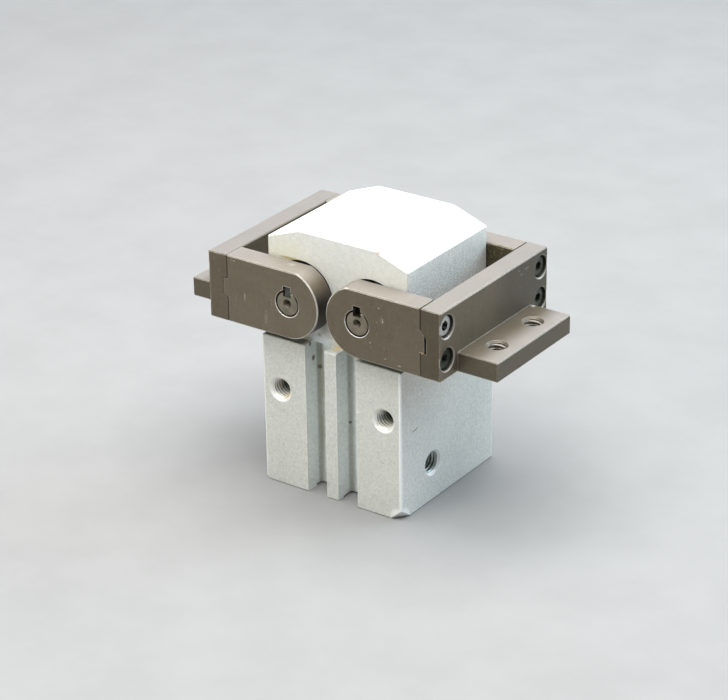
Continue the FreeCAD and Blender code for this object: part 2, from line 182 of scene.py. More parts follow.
    def done(self, color, rough, metallic, normal=None, spec=None):
        self.put(self.bsdf.inputs["Base Color"], color)
        self.put(self.bsdf.inputs["Roughness"], rough)
        self.put(self.bsdf.inputs["Metallic"], metallic)
        if normal is not None:
            self.put(self.bsdf.inputs["Normal"], normal)
        if spec is not None:
            self.bsdf.inputs["Specular IOR Level"].default_value = spec
        return self.mat


# ------------------------------------------------------------------ materials
def blasted_aluminium():
    g = Graph("blasted_aluminium")
    fine = g.noise(g.pos, 3.0, 2.0, 0.55)
    speck = g.noise(g.pos, 1.5, 2.0, 0.7)
    blotch = g.noise(g.pos, 0.75, 2.0, 0.6)
    cloud = g.noise(g.pos, 0.18, 3.0, 0.55)
    base = g.mix(g.ramp(fine, 0.30, 0.70, smooth=False), (0.715, 0.715, 0.68), (0.92, 0.92, 0.875))
    base = g.mix(g.ramp(speck, 0.30, 0.70), base, (0.875, 0.88, 0.875), "MULTIPLY")
    base = g.mix(g.ramp(blotch, 0.38, 0.66), base, (0.96, 0.96, 0.935), "MULTIPLY")
    base = g.mix(g.ramp(cloud, 0.35, 0.7), base, (0.96, 0.965, 0.975), "MULTIPLY")
    # darker pits of the blasting, sparse
    pits = g.noise(g.pos, 2.2, 1.0, 0.4, 0.68, 0.76)
    base = g.mix(g.times(pits, 0.4), base, (0.36, 0.37, 0.35))
    # handling marks: faint long smears
    smear = g.noise(g.scaled(0.9, 0.9, 0.25), 0.8, 3.0, 0.6, 0.58, 0.75, 0.0, 0.20)
    base = g.mix(smear, base, (0.47, 0.46, 0.42))
    x, y, z = g.xyz()
    ax, ay, _ = g.absxyz()
    # painted shade: the lower block's outer faces are darkened, its side faces lifted a little again
    outer = g.times(g.ramp(g.math("MAXIMUM", ax, ay), 17.5, 17.9), g.ramp(z, 34.8, 35.4, 1.0, 0.0))
    base = g.mix(outer, base, (0.905, 0.91, 0.91), "MULTIPLY")
    base = g.mix(g.times(outer, g.ramp(ax, 17.9, 17.98)), base, (1.08, 1.07, 1.07), "MULTIPLY")
    # painted light: the upper block is lightened, its front and rear faces pulled towards a mid grey
    upper = g.ramp(z, 35.5, 36.0)
    faces = g.times(upper, g.ramp(ay, 14.85, 14.95))
    base = g.mix(g.times(faces, 0.45), base, (0.80, 0.80, 0.765))
    base = g.mix(upper, base, (1.045, 1.05, 1.06), "MULTIPLY")
    # painted light: the grooves are lightened, with a cooler tone
    groove = g.times(g.band(ax, 1.45, 6.65, 0.02), g.band(ay, 12.9, 17.9, 0.05))
    base = g.mix(g.times(groove, g.ramp(z, 34.8, 35.4, 1.0, 0.0)), base, (1.11, 1.15, 1.21), "MULTIPLY")
    # machined mouths of the tapped holes, bright, and painted shade on the flanks further in
    front = g.hypot(g.math("SUBTRACT", ax, 13.5), g.math("SUBTRACT", z, 23.0))
    under = g.hypot(g.math("SUBTRACT", ax, 13.5), g.math("SUBTRACT", ay, 13.5))
    port_r = g.math("ADD", g.hypot(g.math("SUBTRACT", y, -6.0), g.math("SUBTRACT", z, 9.0)), g.ramp(x, -1.0, 1.0, 50.0, 0.0))
    port_l = g.math("ADD", g.hypot(y, g.math("SUBTRACT", z, 16.6)), g.ramp(x, -1.0, 1.0, 0.0, 50.0))
    port = g.math("MINIMUM", port_r, port_l)
    mouth = g.most(
        g.times(g.ramp(front, 2.93, 3.02, 1.0, 0.0), g.band(ay, 17.35, 17.98, 0.02)),
        g.times(g.ramp(port, 3.02, 3.1, 1.0, 0.0), g.band(ax, 17.3, 17.98, 0.02)),
        g.times(g.ramp(under, 2.83, 2.92, 1.0, 0.0), g.band(z, 0.02, 0.7, 0.02)),
    )
    inside = g.most(
        g.times(g.ramp(front, 2.52, 2.56, 1.0, 0.0), g.ramp(ay, 17.2, 17.5, 1.0, 0.0)),
        g.times(g.ramp(port, 2.52, 2.56, 1.0, 0.0), g.ramp(ax, 17.2, 17.5, 1.0, 0.0)),
        g.times(g.ramp(under, 2.52, 2.56, 1.0, 0.0), g.band(z, 0.8, 12.0, 0.3)),
    )
    base = g.mix(mouth, base, (0.90, 0.90, 0.88))
    # painted shade on the lower part of the right port's mouth
    lower = g.times(mouth, g.times(g.ramp(port, 3.02, 3.1, 1.0, 0.0), g.ramp(ax, 17.3, 17.32)))
    base = g.mix(g.times(lower, g.ramp(g.math("ADD", y, z), 3.2, 0.8)), base, (0.66, 0.615, 0.60))
    base = g.mix(g.times(inside, 0.9), base, (0.38, 0.375, 0.31))
    # bright edges, partly real wear and partly painted highlight
    edge = g.edges(0.35, 0.02, 0.16)
    chip = g.noise(g.pos, 1.6, 3.0, 0.6, 0.30, 0.50, 0.35, 1.0)
    edge = g.times(g.times(edge, chip), g.math("SUBTRACT", 1.0, inside))
    base = g.mix(g.times(edge, 0.9), base, (0.98, 0.98, 0.97))
    # painted highlight along the long vertical edges, strongest on the front right one
    vertical_edge_highlight = g.times(g.times(g.ramp(ax, 17.42, 17.62), g.ramp(ay, 17.42, 17.62)), g.ramp(z, 34.7, 35.1, 1.0, 0.0))
    vertical_edge_highlight = g.times(vertical_edge_highlight, g.ramp(g.math("SUBTRACT", x, y), 30.0, 34.0, 0.45, 0.95))
    base = g.mix(vertical_edge_highlight, base, (0.97, 1.0, 1.0))
    # painted shade under the swinging frames, on both side faces, darker towards the bottom and broken up by speckle
    side = g.ramp(ax, 17.85, 17.95)
    ragged = g.noise(g.pos, 0.5, 3.0, 0.65, 0.3, 0.7, -1.0, 1.0)
    slope = g.math("MULTIPLY_ADD", y, 0.05, g.math("ADD", z, ragged))
    low = g.ramp(slope, 50.8, 55.4, 1.0, 0.0)
    low = g.times(low, g.ramp(z, 42.0, 47.0, 0.25, 1.0))
    shade_speckle = g.noise(g.pos, 2.5, 3.0, 0.75, 0.44, 0.57, 0.0, 1.0)
    frame_shade = g.times(g.times(side, low), shade_speckle)
    base = g.mix(g.times(frame_shade, 0.42), base, (0.27, 0.26, 0.265))
    # a brown stain streaking down a groove
    brown = g.noise(g.scaled(1.0, 1.0, 0.12), 0.9, 2.0, 0.6, 0.40, 0.62)
    streak = g.times(g.blob((-5.9, -13.1, 22.0), (0.8, 0.6, 14.0), 0.5, 0.25, 0.7), g.ramp(brown, 0.0, 1.0, 0.35, 0.9))
    base = g.mix(g.times(streak, 0.6), base, (0.36, 0.32, 0.17))
    # painted shade along the corners of the groove floors
    seam = g.times(g.times(g.band(z, 0.5, 34.8, 0.4), g.ramp(ay, 14.3, 13.3, 0.0, 1.0)),
                   g.times(g.ramp(ay, 12.9, 13.0), g.band(ax, 1.3, 6.8, 0.1)))
    corner = g.times(seam, g.most(g.ramp(ax, 3.2, 1.8), g.ramp(ax, 4.9, 6.3)))
    base = g.mix(g.times(corner, 0.64), base, (0.20, 0.205, 0.155))
    # painted shadow on the ledge, below the arms
    ledge = g.times(g.band(z, 35.05, 35.35, 0.05), g.times(g.band(ay, 15.3, 17.75, 0.1), g.ramp(ax, 7.0, 8.0)))
    base = g.mix(g.times(ledge, 0.75), base, (0.075, 0.09, 0.088))
    # dark marks, and painted shade on the block's front between the arms (the wide patch at x -2.5)
    dark = g.most(
        g.blob((-6.62, -15.0, 31.2), (0.5, 0.55, 0.6), 0.25, 0.15),
        g.blob((-6.2, -13.2, 28.45), (0.5, 0.6, 0.5), 0.3, 0.25),
        g.blob((1.65, -13.35, 17.3), (0.3, 0.4, 0.34), 0.25, 0.2),
        g.times(g.blob((1.64, -13.35, 26.2), (0.14, 0.3, 0.7), 0.3, 0.2), 0.4),
        g.times(g.blob((18.0, -12.6, 19.8), (0.4, 0.95, 0.6), 0.4, 0.2),
                g.band(g.math("SUBTRACT", g.math("SUBTRACT", z, 19.8), g.math("MULTIPLY", g.math("ADD", y, 12.6), 0.2)),
                       -0.07, 0.07, 0.12)),
        g.blob((-6.62, -16.1, 34.9), (0.35, 0.4, 0.5), 0.3),
        g.times(g.blob((-2.5, -15.0, 40.5), (3.0, 0.6, 3.2), 0.5, 0.6, 1.2), 0.55),
    )
    base = g.mix(g.times(dark, 0.85), base, (0.11, 0.08, 0.045))
    speck_y = g.blob((-4.92, -15.0, 36.95), (0.62, 0.6, 0.62), 0.3, 0.3)
    base = g.mix(g.times(speck_y, 0.7), base, (0.38, 0.33, 0.13))
    core = g.blob((-4.95, -15.0, 36.9), (0.26, 0.6, 0.26), 0.3, 0.2)
    base = g.mix(g.times(core, 0.8), base, (0.07, 0.06, 0.035))
    # painted light: a pale bluish patch on the block's front just below the left arm
    pale = g.blob((-4.6, -15.0, 35.6), (2.2, 2.0, 1.5), 0.4, 0.6, 1.4)
    base = g.mix(g.times(pale, 0.7), base, (0.84, 0.93, 1.0))
    cream = g.blob((0.07, -15.66, 35.2), (0.85, 1.0, 0.5), 0.35)
    base = g.mix(g.times(cream, 0.75), base, (0.86, 0.70, 0.40))
    warm = g.blob((-13.2, -15.0, 54.0), (5.0, 0.6, 3.0), 0.6, 0.6, 0.6)
    base = g.mix(g.times(warm, 0.35), base, (0.84, 0.82, 0.62))
    residue = g.blob((-11.2, -15.0, 53.05), (3.4, 0.35, 0.30), 0.3, 0.35, 1.6)
    base = g.mix(g.times(residue, 0.8), base, (0.50, 0.40, 0.12))
    # bright worn corner, and the nick in the top edge
    worn = g.blob((17.4, -17.4, 0.9), (2.1, 2.6, 1.9), 0.3)
    base = g.mix(g.times(worn, 0.9), base, (0.97, 0.96, 0.95))
    nick = g.blob((10.8, -14.9, 59.75), (0.8, 0.6, 0.4), 0.35, 0.4, 2.0)
    base = g.mix(g.times(nick, 0.85), base, (0.30, 0.17, 0.13))
    scratch = g.most(
        g.blob((18.0, -10.8, 27.5), (0.4, 0.16, 0.7), 0.3, 0.15),
        g.blob((-9.6, -18.0, 12.6), (0.5, 0.4, 0.09), 0.3, 0.15),
        g.blob((12.2, -18.0, 6.4), (0.8, 0.4, 0.08), 0.3, 0.15),
        g.blob((6.9, -18.0, 23.2), (0.45, 0.4, 0.35), 0.4, 0.3),
    )
    base = g.mix(g.times(scratch, 0.6), base, (0.95, 0.95, 0.93))
    rough = g.ramp(fine, 0.2, 0.8, 0.44, 0.60)
    h = g.math("MULTIPLY_ADD", speck, 0.7, fine)
    nrm = g.bump(h, 0.55, 0.00011)
    metal = g.ramp(g.math("SUBTRACT", inside, edge), 0.0, 1.0, 0.22, 0.6)
    return g.done(base, rough, metal, nrm)


def finger_steel(name, tone, plate=False):
    g = Graph(name)
    # faint grinding lines, and broad clouds from handling
    lines = g.noise(g.scaled(0.25, 0.25, 6.0), 1.6, 3.0, 0.6)
    streak = g.noise(g.scaled(1.2, 1.2, 0.3), 1.0, 3.0, 0.6)
    cloud = g.noise(g.pos, 0.22, 4.0, 0.6)
    fine = g.noise(g.pos, 3.6, 3.0, 0.65)
    mottle = g.noise(g.pos, 1.1, 3.0, 0.6)
    tint = lambda *c: tuple(v * tone for v in c)
    base = g.mix(g.ramp(cloud, 0.3, 0.7), tint(0.133, 0.108, 0.071), tint(0.156, 0.130, 0.090))
    base = g.mix(g.ramp(mottle, 0.35, 0.7, 0.0, 0.4), base, tint(0.168, 0.142, 0.103))
    base = g.mix(g.ramp(streak, 0.35, 0.7, 0.0, 0.22), base, tint(0.184, 0.158, 0.117))
    base = g.mix(g.ramp(fine, 0.3, 0.7, 0.0, 0.30), base, tint(0.094, 0.077, 0.053))
    # small bright nicks and hairline scratches
    nick = g.noise(g.scaled(1.5, 1.5, 1.1), 1.3, 2.0, 0.5, 0.735, 0.775)
    base = g.mix(g.times(nick, 0.22), base, (0.50, 0.46, 0.41))
    hair = g.noise(g.scaled(2.2, 2.2, 0.5), 0.8, 2.0, 0.5, 0.71, 0.74)
    base = g.mix(g.times(hair, 0.14), base, (0.50, 0.46, 0.41))
    x, y, z = g.xyz()
    ax, ay, az = g.absxyz()
    if plate:
        # painted light lifts the long outer faces, and painted shade darkens them towards the rear
        face = g.times(g.band(z, 37.5, 53.5, 0.2), g.band(ax, 29.3, 30.0, 0.1))
        base = g.mix(face, base, (1.22, 1.20, 1.20), "MULTIPLY")
        base = g.mix(g.times(face, g.ramp(y, -3.0, 6.5)), base, (0.68, 0.70, 0.73), "MULTIPLY")
        ends = g.times(g.ramp(ay, 20.6, 20.68), g.band(ax, 24.9, 29.9, 0.1))
        base = g.mix(g.times(ends, g.ramp(x, -1.0, 1.0)), base, (0.86, 0.85, 0.80), "MULTIPLY")
        base = g.mix(g.times(ends, g.ramp(x, 1.0, -1.0)), base, (1.18, 1.17, 1.15), "MULTIPLY")
    else:
        base = g.mix(g.ramp(x, 1.0, -1.0), base, (1.12, 1.12, 1.14), "MULTIPLY")
    # painted light: the upward faces are lightened, on the flanges too
    n = g.t.nodes.new("ShaderNodeSeparateXYZ")
    tc = g.t.nodes.new("ShaderNodeTexCoord")
    g.put(n.inputs[0], tc.outputs["Normal"])
    upward = g.times(g.ramp(n.outputs[2], 0.6, 0.95), g.ramp(z, 42.0, 50.0, 0.0, 1.0))
    flange = g.times(g.ramp(n.outputs[2], 0.6, 0.95), g.times(g.ramp(z, 42.0, 50.0, 1.0, 0.0), g.ramp(ax, 33.0, 38.5, 0.0, 1.15)))
    base = g.mix(g.times(g.most(upward, flange), 0.38 if plate else 0.345), base, (0.42, 0.395, 0.375))
    # bright edges, partly real wear and partly painted highlight
    edge = g.edges(0.25, 0.02, 0.16)
    chip = g.noise(g.pos, 1.3, 3.0, 0.6, 0.25, 0.55, 0.6, 1.0)
    edge = g.times(edge, chip)
    # less so along the seams between arms and plates
    edge = g.times(edge, g.math("SUBTRACT", 0.50 if plate else 0.80, g.times(g.band(ax, 24.1, 26.2, 0.1), 0.5)))
    if plate:
        # turned chamfers of the screw recesses, with a painted highlight on them
        r = g.hypot(g.math("SUBTRACT", ay, 18.1),
                    g.math("SUBTRACT", g.math("ABSOLUTE", g.math("SUBTRACT", z, 45.4)), 3.7))
        shine = g.times(g.band(r, 2.55, 2.72, 0.06), g.ramp(ax, 29.4, 29.55))
        # painted shade on the walls of the screw recesses
        wall = g.times(g.ramp(r, 2.52, 2.58, 1.0, 0.0), g.band(ax, 26.0, 29.6, 0.1))
        base = g.mix(g.times(wall, 0.7), base, (0.035, 0.036, 0.028))
        scratch = g.most(
            g.times(g.blob((29.8, 12.2, 50.9), (0.5, 0.8, 0.14), 0.5, 0.5, 2.4), 0.45),
            g.times(g.blob((29.8, 10.2, 50.2), (0.5, 0.6, 0.10), 0.5, 0.4, 2.4), 0.45),
            g.times(g.blob((29.8, 9.2, 51.4), (0.5, 0.4, 0.10), 0.5, 0.4, 2.4), 0.45),
            g.blob((30.7, 13.6, 41.85), (0.5, 0.45, 0.3), 0.3),
            g.blob((36.0, 6.2, 41.85), (0.35, 0.3, 0.3), 0.3),
        )
        rust = g.most(
            g.blob((24.9, -20.7, 42.85), (0.55, 0.3, 0.16), 0.3, 0.3),
            g.blob((26.2, -20.7, 43.2), (0.18, 0.3, 0.4), 0.3, 0.3),
        )
    else:
        # painted highlight on the turned edge round the shaft, strongest low down
        r = g.hypot(g.math("SUBTRACT", ax, 9.0), g.math("SUBTRACT", z, 45.4))
        shine = g.times(g.band(r, 3.0, 3.12, 0.04), g.ramp(ay, 20.58, 20.62))
        shine = g.times(shine, g.ramp(z, 44.4, 46.9, 0.75, 0.15))
        # painted shade on the bore wall at the arm's face, in the gap round the shaft
        bore = g.times(g.ramp(r, 3.0, 3.03, 1.0, 0.0), g.ramp(ay, 20.5, 20.6, 1.0, 0.0))
        # painted highlight along the chamfer of the rounded end
        rim = g.times(g.times(g.band(g.hypot(g.math("SUBTRACT", ax, 9.0), g.math("SUBTRACT", z, 45.4)), 7.75, 8.2, 0.04),
                              g.band(ay, 20.5, 20.75, 0.04)), g.ramp(ax, 9.5, 7.5))
        scratch = g.most(
            g.blob((-20.25, -20.7, 44.2), (0.16, 0.4, 0.75), 0.4, 0.5, 2.0),
            g.times(g.blob((-14.7, -20.7, 40.9), (0.45, 0.4, 1.5), 0.6, 0.5, 1.5), 0.3),
            g.blob((-22.8, -20.7, 52.0), (0.25, 0.4, 0.2), 0.3, 0.3),
            g.blob((14.59, -20.7, 50.37), (0.22, 0.4, 0.2), 0.3, 0.3),
            g.blob((15.55, -20.7, 47.5), (0.16, 0.4, 0.75), 0.35, 0.4, 2.0),
            g.blob((14.0, -20.7, 47.0), (0.25, 0.4, 0.12), 0.3, 0.3),
            g.blob((16.1, -20.7, 39.2), (0.30, 0.4, 0.12), 0.3, 0.3),
            g.blob((19.6, -20.7, 38.5), (0.4, 0.4, 0.15), 0.3, 0.3),
            g.blob((12.3, -20.7, 41.9), (0.2, 0.4, 0.2), 0.3, 0.3),
            g.times(g.blob((-10.1, -17.1, 52.9), (0.8, 0.7, 0.4), 0.4, 0.5, 2.0), 0.5),
        )
        scratch = g.times(scratch, g.noise(g.pos, 2.4, 2.0, 0.6, 0.30, 0.62))
        rust = g.blob((25.2, -20.7, 43.0), (0.7, 0.3, 0.12), 0.3, 0.3)
    # dark line in the seam between arm and plate, above and below the tongue
    seam = g.times(g.band(ax, 24.72, 24.96, 0.03), g.ramp(g.math("ABSOLUTE", g.math("SUBTRACT", z, 45.4)), 2.5, 2.6))
    base = g.mix(g.times(seam, g.times(g.ramp(ay, 15.2, 15.3), g.ramp(x, -1.0, 1.0, 0.3, 0.75))), base, (0.03, 0.027, 0.02))
    if not plate:
        # painted shade low on the rounded ends, where the two frames face each other
        end_shade = g.times(g.ramp(ax, 5.6, 2.8), g.times(g.ramp(z, 52.0, 46.0), g.band(ay, 15.45, 20.5, 0.1)))
        base = g.mix(g.times(end_shade, 0.9), base, (0.02, 0.019, 0.015))
        # painted shade in the gap round the shaft
        base = g.mix(g.times(bore, 0.9), base, (0.015, 0.014, 0.011))
        # the rim's painted highlight joins the bright edges
        edge = g.most(edge, g.times(rim, g.noise(g.pos, 0.35, 3.0, 0.6, 0.35, 0.6, 0.15, 0.5)))
    # painted highlights on the edges, the turned rings and the rim, partly real wear, with the bright scratches
    bright = g.most(edge, g.times(shine, 0.28 if plate else 1.0), g.times(scratch, 0.4))
    base = g.mix(g.times(bright, 0.93), base, (0.90, 0.87, 0.82))
    base = g.mix(g.times(rust, 0.7), base, (0.55, 0.36, 0.20))
    if not plate:
        # old grease on the inner face of the rear right arm
        smudge = g.blob((20.5, 15.3, 51.0), (4.5, 0.5, 3.0), 0.5, 0.6, 0.9)
        base = g.mix(g.times(smudge, 0.7), base, (0.05, 0.043, 0.02))
        dots = g.noise(g.pos, 1.5, 3.0, 0.7, 0.57, 0.64)
        base = g.mix(g.times(g.times(dots, smudge), 0.8), base, (0.42, 0.34, 0.10))
    rough = g.ramp(g.math("MULTIPLY_ADD", fine, 0.5, g.math("MULTIPLY", cloud, 0.5)), 0.3, 0.7, 0.42, 0.54)
    h = g.math("MULTIPLY_ADD", lines, 0.3, fine)
    nrm = g.bump(h, 0.14, 0.00004)
    return g.done(base, rough, g.ramp(bright, 0.0, 1.0, 0.45, 0.1), nrm)


def plain_metal(name, dark, light, rough, metallic, freq=5.0, bump=0.15, rings=None):
    """Turned or ground metal. rings gives (x, z) of an axis along Y with turning marks round it."""
    g = Graph(name)
    fine = g.noise(g.pos, freq, 3.0, 0.6)
    cloud = g.noise(g.pos, 0.4, 3.0, 0.6)
    base = g.mix(g.ramp(cloud, 0.3, 0.7), dark, light)
    base = g.mix(g.ramp(fine, 0.35, 0.75, 0.0, 0.3), base, dark)
    h = fine
    if rings:
        x, _, z = g.xyz()
        rx = g.math("SUBTRACT", x, rings[0])
        rz = g.math("SUBTRACT", z, rings[1])
        r = g.math("SQRT", g.math("ADD", g.times(rx, rx), g.times(rz, rz)))
        wave = g.math("SINE", g.math("MULTIPLY", r, 2 * math.pi / 0.33))
        h = g.math("MULTIPLY_ADD", wave, 0.35, fine)
        base = g.mix(g.ramp(wave, -1.0, 1.0, 0.0, 0.25), base, light)
        centre = g.ramp(r, 0.98, 1.04, 1.0, 0.0)
        base = g.mix(g.times(centre, 0.7), base, (0.13, 0.12, 0.095))
        # painted shade on the shaft beyond its reduced end, in the gap inside the arm
        gap = g.ramp(r, 2.66, 2.70)
        base = g.mix(g.times(gap, 0.9), base, (0.02, 0.019, 0.016))
        rough_at = g.math("MULTIPLY_ADD", centre, 0.32, g.ramp(fine, 0.3, 0.7, rough - 0.05, rough + 0.06))
    else:
        rough_at = g.ramp(fine, 0.3, 0.7, rough - 0.05, rough + 0.06)
    nrm = g.bump(h, bump, 0.00004)
    return g.done(base, rough_at, metallic, nrm)


def screw_metal():
    """Oxide-black screws, with one bright replacement at the front top of the right plate."""
    g = Graph("screw_metal")
    fine = g.noise(g.pos, 5.0, 3.0, 0.6)
    dark = g.mix(g.ramp(fine, 0.3, 0.7), (0.045, 0.048, 0.036), (0.085, 0.09, 0.07))
    bright = g.mix(g.ramp(fine, 0.3, 0.7), (0.42, 0.43, 0.42), (0.58, 0.59, 0.575))
    w = g.vmath("SUBTRACT", g.pos, (28.0, -18.1, 49.1))
    one = g.ramp(g.vmath("LENGTH", w, out=1), 3.0, 3.1, 1.0, 0.0)
    base = g.mix(one, dark, bright)
    _, ay, _ = g.absxyz()
    _, _, z = g.xyz()
    r = g.hypot(g.math("SUBTRACT", ay, 18.1),
                g.math("SUBTRACT", g.math("ABSOLUTE", g.math("SUBTRACT", z, 45.4)), 3.7))
    # painted shade in the hex socket of the bright screw, less at its centre
    socket = g.times(g.ramp(r, 1.02, 1.14, 0.85, 0.0), one)
    base = g.mix(socket, base, g.mix(g.ramp(r, 0.7, 0.9), (0.36, 0.37, 0.34), (0.03, 0.03, 0.028)))
    filled = g.times(g.ramp(r, 1.02, 1.14, 0.9, 0.0), g.math("SUBTRACT", 1.0, one))
    base = g.mix(g.times(filled, 0.8), base, (0.12, 0.125, 0.10))
    # bright edges on the heads, partly real wear and partly painted highlight, strongest on the bright screw
    edge = g.edges(0.15, 0.03, 0.3)
    base = g.mix(g.times(edge, g.math("MULTIPLY_ADD", one, 0.45, 0.12)), base, (0.62, 0.62, 0.60))
    nrm = g.bump(fine, 0.15, 0.00003)
    return g.done(base, g.ramp(fine, 0.3, 0.7, 0.30, 0.44), g.ramp(one, 0.0, 1.0, 0.6, 0.9), nrm)


def thread_metal(name, light, deep, stain, amount, axis, mouth, fade=(1.6, 5.0), centres=(), root=2.45, spots=(),
                 lead=None, root_shade_amount=0.85):
    """Cut thread with oily stains: bright near the mouth, with painted shade further in and in the thread's roots.
    mouth is the |coordinate| of the hole's face, and centres are the holes' axes in the two other coordinates, as (|a|,
    b)."""
    g = Graph(name)
    fine = g.noise(g.pos, 4.0, 3.0, 0.6)
    at = g.absxyz()[axis]
    depth = g.math("ABSOLUTE", g.math("SUBTRACT", at, mouth))
    base = g.mix(g.ramp(fine, 0.3, 0.7), tuple(c * 0.85 for c in light), light)
    oil = g.noise(g.pos, 0.55, 3.0, 0.6, 0.42, 0.62, 0.0, amount)
    base = g.mix(oil, base, stain)
    other = [i for i in (0, 1, 2) if i != axis]
    for a, b in centres:
        r = g.hypot(g.math("SUBTRACT", g.absxyz()[other[0]], a), g.math("SUBTRACT", g.absxyz()[other[1]], b))
        # painted shade in the thread's roots, from 0.7 deep on
        root_shade = g.times(g.band(r, root, root + 0.3, 0.06), g.ramp(depth, 0.45, 0.7, 0.0, root_shade_amount))
        base = g.mix(root_shade, base, deep)
    for centre, radii, color in spots:
        base = g.mix(g.times(g.blob(centre, radii, 0.5, 0.3, 1.5), 0.8), base, color)
    if lead:
        base = g.mix(g.times(g.band(depth, 0.55, 1.0, 0.05), 0.8), base, lead)
    # painted shade: darker further into the hole
    base = g.mix(g.ramp(depth, *fade), base, deep)
    nrm = g.bump(fine, 0.12, 0.00004)
    return g.done(base, g.ramp(fine, 0.3, 0.7, 0.34, 0.46), 0.25, nrm)


def rubber():
    g = Graph("seal_rubber_black")
    fine = g.noise(g.pos, 6.0, 3.0, 0.6)
    base = g.mix(g.ramp(fine, 0.3, 0.7), (0.012, 0.012, 0.013), (0.03, 0.03, 0.031))
    return g.done(base, g.ramp(fine, 0.3, 0.7, 0.45, 0.6), 0.0, g.bump(fine, 0.2, 0.00005), 0.4)


def bronze():
    g = Graph("sintered_bronze_oiled")
    pores = g.cells(g.pos, 4.0)
    fine = g.noise(g.pos, 3.0, 3.0, 0.6)
    base = g.mix(g.ramp(fine, 0.3, 0.7), (0.30, 0.19, 0.08), (0.44, 0.30, 0.15))
    base = g.mix(g.ramp(pores, 0.0, 0.18, 0.7, 0.0), base, (0.06, 0.04, 0.02))
    return g.done(base, g.ramp(fine, 0.3, 0.7, 0.38, 0.5), 0.9, g.bump(pores, 0.2, 0.00005))


ALU = blasted_aluminium()
FINGER = finger_steel("finger_steel_arms", 1.0)
PLATE = finger_steel("finger_steel_plates", 0.78, True)
TURNED = plain_metal("turned_aluminium_bare", (0.46, 0.46, 0.45), (0.62, 0.62, 0.61), 0.30, 0.9)
INNER = plain_metal("ground_steel", (0.30, 0.30, 0.31), (0.44, 0.44, 0.45), 0.28, 1.0)
HOLDER = plain_metal("dark_holder", (0.05, 0.05, 0.05), (0.10, 0.10, 0.095), 0.45, 0.7)
KEY = plain_metal("key_steel", (0.060, 0.063, 0.056), (0.13, 0.133, 0.118), 0.45, 0.6)
SHAFT = {s: plain_metal("shaft_steel_" + s, (0.185, 0.165, 0.125), (0.285, 0.255, 0.195), 0.36, 0.9, rings=(x, 45.4))
         for s, x in (("right", 9.0), ("left", -9.0))}
SCREW = screw_metal()
RUBBER = rubber()
BRONZE = bronze()
MAGNET = plain_metal("magnet_black", (0.02, 0.02, 0.022), (0.05, 0.05, 0.052), 0.5, 0.2)
THREAD_BODY = thread_metal("thread_aluminium", (0.99, 1.0, 0.98), (0.03, 0.034, 0.018), (0.70, 0.62, 0.40), 0.25, 1, 18.0,
                           (2.8, 5.8), ((13.5, 23.0),), 2.36, root_shade_amount=0.85, spots=(((-11.7, -16.0, 21.6), (1.5, 1.8, 1.3), (0.72, 0.52, 0.20)),))
THREAD_UNDER = thread_metal("thread_aluminium_under", (0.80, 0.80, 0.78), (0.05, 0.05, 0.04), (0.35, 0.33, 0.28), 0.4, 2, 0.0,
                            (2.0, 5.0), ((13.5, 13.5),))
THREAD_PORT = thread_metal("thread_aluminium_port", (1.0, 1.0, 0.99), (0.025, 0.055, 0.038), (0.30, 0.38, 0.33), 0.4, 0, 18.0,
                           (3.6, 5.2), ((6.0, 9.0), (0.0, 16.6)), 2.32, lead=(0.26, 0.33, 0.28), root_shade_amount=0.92)
THREAD_STEEL = thread_metal("thread_steel", (0.30, 0.28, 0.24), (0.03, 0.027, 0.02), (0.07, 0.06, 0.05), 0.6, 2, 41.85,
                            (1.2, 3.5), ((34.8, 7.0),), 1.95)

CAD_MATERIAL = {
    "body": ALU,
    "piston": TURNED, "magnet_holder": TURNED, "bottom_cap": TURNED,
    "rod_bush": BRONZE, "rod_seal": RUBBER, "cap_o_ring": RUBBER, "piston_seal": RUBBER,
    "retaining_ring": KEY, "magnet": MAGNET,
    "joint": INNER, "joint_pins": INNER, "joint_rollers": INNER,
}
for side in ("right", "left"):
    CAD_MATERIAL["shaft_" + side] = SHAFT[side]
    CAD_MATERIAL["arm_keys_" + side] = KEY
    CAD_MATERIAL["lever_key_" + side] = KEY
    CAD_MATERIAL["lever_" + side] = INNER
    CAD_MATERIAL["cross_plate_" + side] = PLATE
    CAD_MATERIAL["plate_screws_" + side] = SCREW
    for end in ("front", "rear"):
        CAD_MATERIAL["arm_%s_%s" % (end, side)] = FINGER
        CAD_MATERIAL["bearing_holder_%s_%s" % (end, side)] = HOLDER
        CAD_MATERIAL["shaft_bush_%s_%s" % (end, side)] = BRONZE

for name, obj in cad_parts.items():
    obj.data.materials.clear()
    obj.data.materials.append(CAD_MATERIAL[name])


